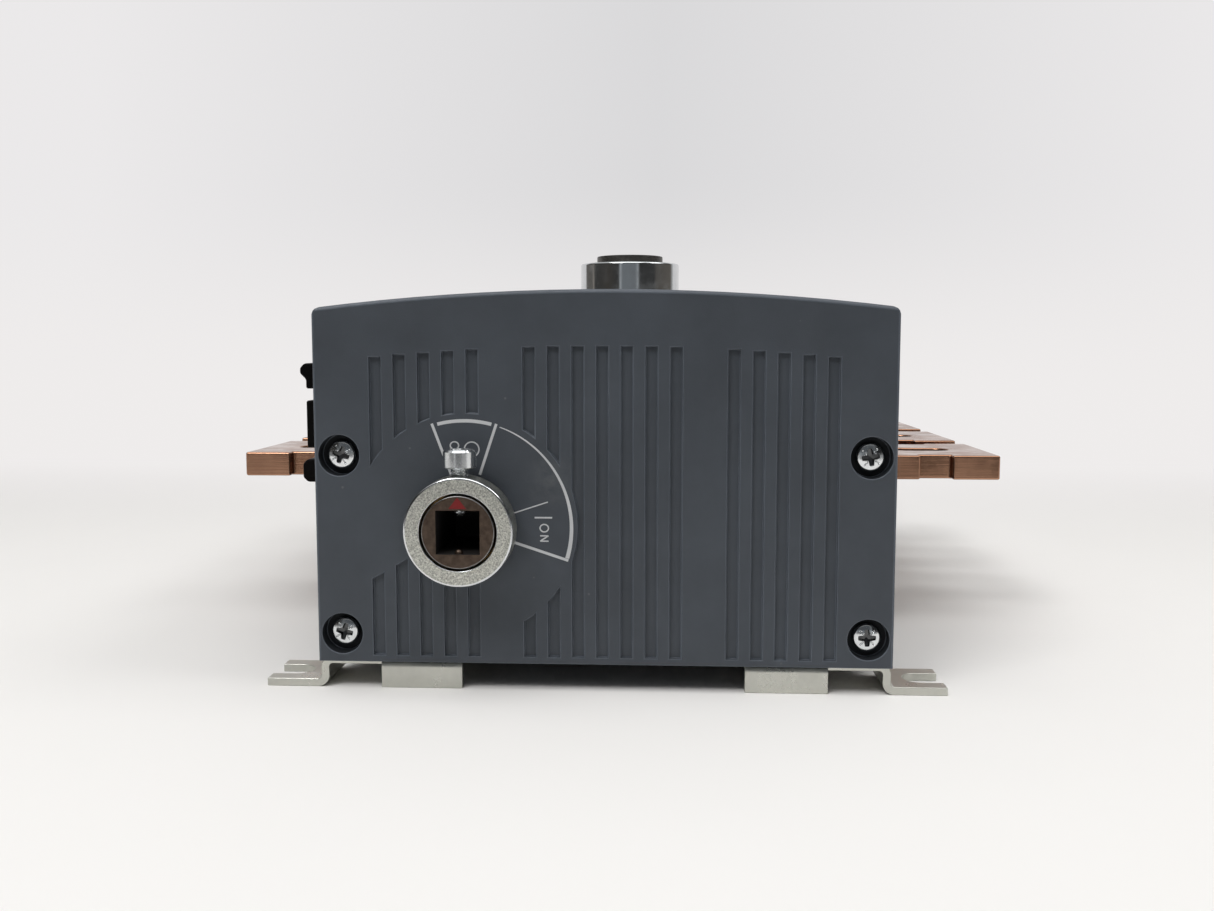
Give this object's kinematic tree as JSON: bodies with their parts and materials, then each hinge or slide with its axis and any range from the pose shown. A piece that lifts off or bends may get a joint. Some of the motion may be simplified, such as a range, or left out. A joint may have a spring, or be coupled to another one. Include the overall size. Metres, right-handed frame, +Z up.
{
  "type": "rotary load switch",
  "caption": "Rotary load switch in a grooved plastic body with copper terminal bars, square-socket end and top drives and slotted steel feet.",
  "frame": {"origin": "on the mounting plane, at the middle of the outline", "axes": "+X to the right of the dial end, +Y back along the poles, +Z up from the mounting plane"},
  "size_m": [0.268, 0.3045, 0.1243],
  "materials": {
    "grey_plastic": "dark slate grey moulded plastic, fine grain",
    "black_plastic": "black moulded plastic",
    "zinc_steel": "zinc-plated steel, pale passivation",
    "dark_steel": "browned steel",
    "bare_steel": "bare machined steel",
    "bronze": "sintered bronze",
    "copper": "rolled copper, lightly tarnished",
    "pale_plastic": "pale thermoset plastic"
  },
  "bodies": {
    "frame": {"end_cover": "grey_plastic", "mechanism_housing": "grey_plastic", "cover_screws": "zinc_steel", "end_bush": "bronze", "top_bush": "bronze", "main_bush": "bronze", "rear_bushes": "bronze", "toggle_pivot": "zinc_steel", "foot_front_left": "zinc_steel", "foot_front_right": "zinc_steel", "foot_rear_left": "zinc_steel", "foot_rear_right": "zinc_steel", "foot_screws": "zinc_steel", "rear_plate": "grey_plastic", "tie_rods": "zinc_steel", "tie_nuts": "zinc_steel", "aux_contact_holder": "black_plastic", "pole_base_1": "black_plastic", "pole_base_2": "black_plastic", "pole_base_3": "black_plastic", "pole_cover_1": "black_plastic", "pole_cover_2": "black_plastic", "pole_cover_3": "black_plastic", "terminal_left_1": "copper", "terminal_left_2": "copper", "terminal_left_3": "copper", "terminal_right_1": "copper", "terminal_right_2": "copper", "terminal_right_3": "copper", "arc_plates_1": "bare_steel", "arc_plates_2": "bare_steel", "arc_plates_3": "bare_steel"},
    "end_drive": {"end_shaft": "dark_steel", "end_coupling_ring": "zinc_steel", "end_clamp_screw": "zinc_steel", "end_gear": "bare_steel"},
    "main_drive": {"main_shaft": "bare_steel", "main_gear": "bare_steel", "main_bevel": "bare_steel", "crank_pin": "zinc_steel", "rotor_1": "pale_plastic", "rotor_2": "pale_plastic", "rotor_3": "pale_plastic", "blades_1": "copper", "blades_2": "copper", "blades_3": "copper"},
    "top_drive": {"top_shaft": "dark_steel", "top_coupling_ring": "zinc_steel", "top_clamp_screw": "zinc_steel", "top_bevel": "bare_steel"},
    "toggle": {"toggle_rod": "zinc_steel", "toggle_spring": "bare_steel"}
  },
  "joints": [
    {"name": "end_turn", "type": "hinge", "parent": "frame", "child": "end_drive", "pos_m": [-0.0384, -0.13981, 0.0471], "axis": [0, 1, 0], "range_deg": [0, 90]},
    {"name": "main_turn", "type": "hinge", "parent": "frame", "child": "main_drive", "pos_m": [0.0062, -0.13981, 0.05475], "axis": [0, 1, 0], "range_deg": [-90, 0]},
    {"name": "top_turn", "type": "hinge", "parent": "frame", "child": "top_drive", "pos_m": [0.0062, -0.09921, 0.05475], "axis": [0, 0, 1], "range_deg": [-90, 0]},
    {"name": "toggle_swing", "type": "hinge", "parent": "frame", "child": "toggle", "pos_m": [0.0682, -0.07929, 0.05475], "axis": [0, 1, 0], "range_deg": [0, 29]}
  ],
  "couplings": [
    {"joint": "main_turn", "follows": "end_turn", "ratio": -1},
    {"joint": "top_turn", "follows": "end_turn", "ratio": -1},
    {"joint": "toggle_swing", "follows": "end_turn", "ratio": 0.32187}
  ]
}
